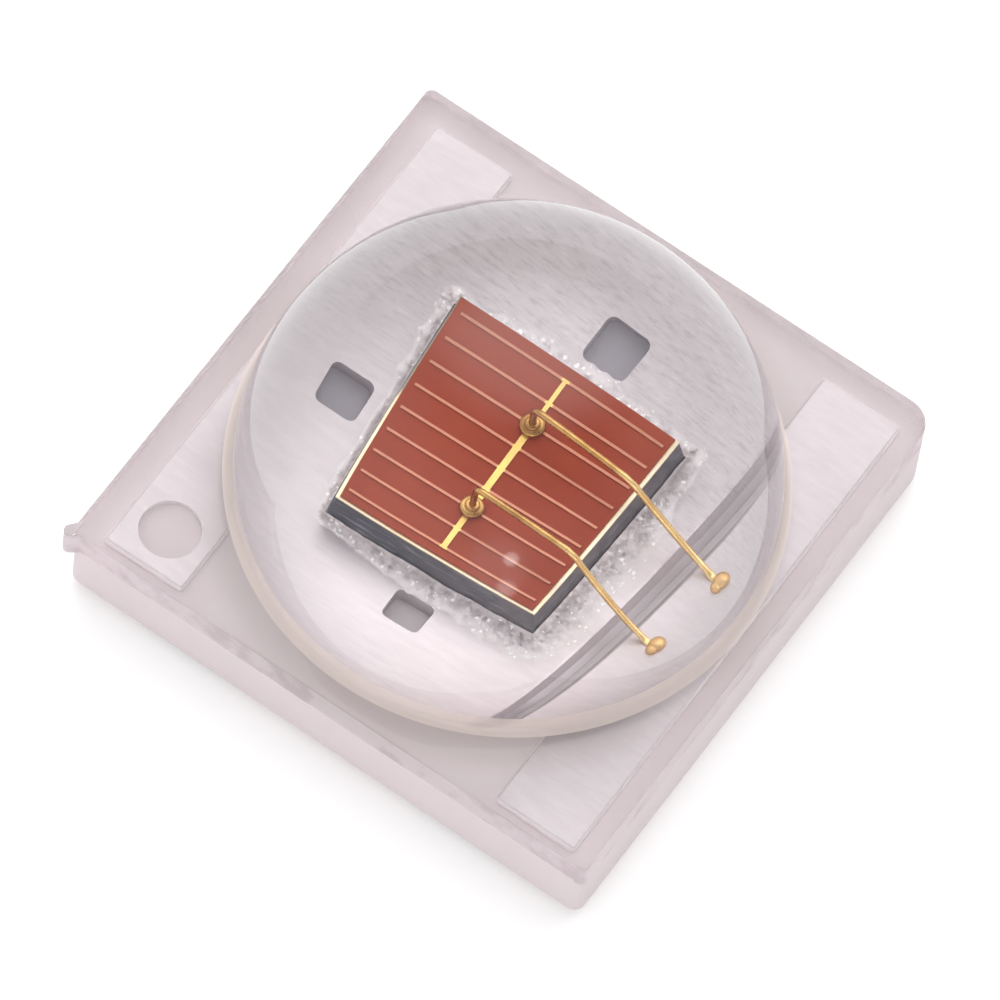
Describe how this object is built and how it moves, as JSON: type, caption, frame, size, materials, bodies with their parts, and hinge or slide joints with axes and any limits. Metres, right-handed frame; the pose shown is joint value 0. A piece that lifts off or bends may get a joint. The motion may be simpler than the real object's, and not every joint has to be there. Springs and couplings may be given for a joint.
{
  "type": "high power led",
  "caption": "Square surface-mount power light-emitting diode: ceramic plate, metal pads, red chip with bond wires, and a clear moulded silicone dome.",
  "frame": {"origin": "middle of the solder side of the heat pad, on the board's plane", "axes": "+Z from the solder pads up through the dome, +X from the chip's pad to the wires' pad, +Y along the long sides of the pads"},
  "size_m": [0.0035, 0.0035, 0.0022],
  "materials": {
    "ceramic": "matte fired ceramic",
    "top_metal": "satin plated",
    "solder_metal": "satin gold flash",
    "plug_metal": "bright copper",
    "silver_glue": "grainy silver-filled resin",
    "chip_slate": "diced semiconductor",
    "chip_metal": "pale gold",
    "chip_red": "fine textured semiconductor",
    "gold": "bright gold",
    "clear_silicone": "glossy clear silicone"
  },
  "bodies": {
    "root": {"ceramic_substrate": "ceramic", "solder_pad_anode": "solder_metal", "solder_pad_thermal": "solder_metal", "solder_pad_cathode": "solder_metal", "via_plug_1": "plug_metal", "via_plug_2": "plug_metal", "via_plug_3": "plug_metal", "via_plug_4": "plug_metal", "chip_pad_metal": "top_metal", "wire_pad_metal": "top_metal", "die_attach_glue": "silver_glue", "chip_back_metal": "chip_metal", "chip_carrier": "chip_slate", "chip_bonding_metal": "chip_metal", "chip_light_layer": "chip_red", "chip_contact_grid": "gold", "bond_wire_1": "gold", "bond_wire_2": "gold", "stitch_bump_1": "gold", "stitch_bump_2": "gold", "silicone_lens": "clear_silicone"}
  },
  "joints": []
}
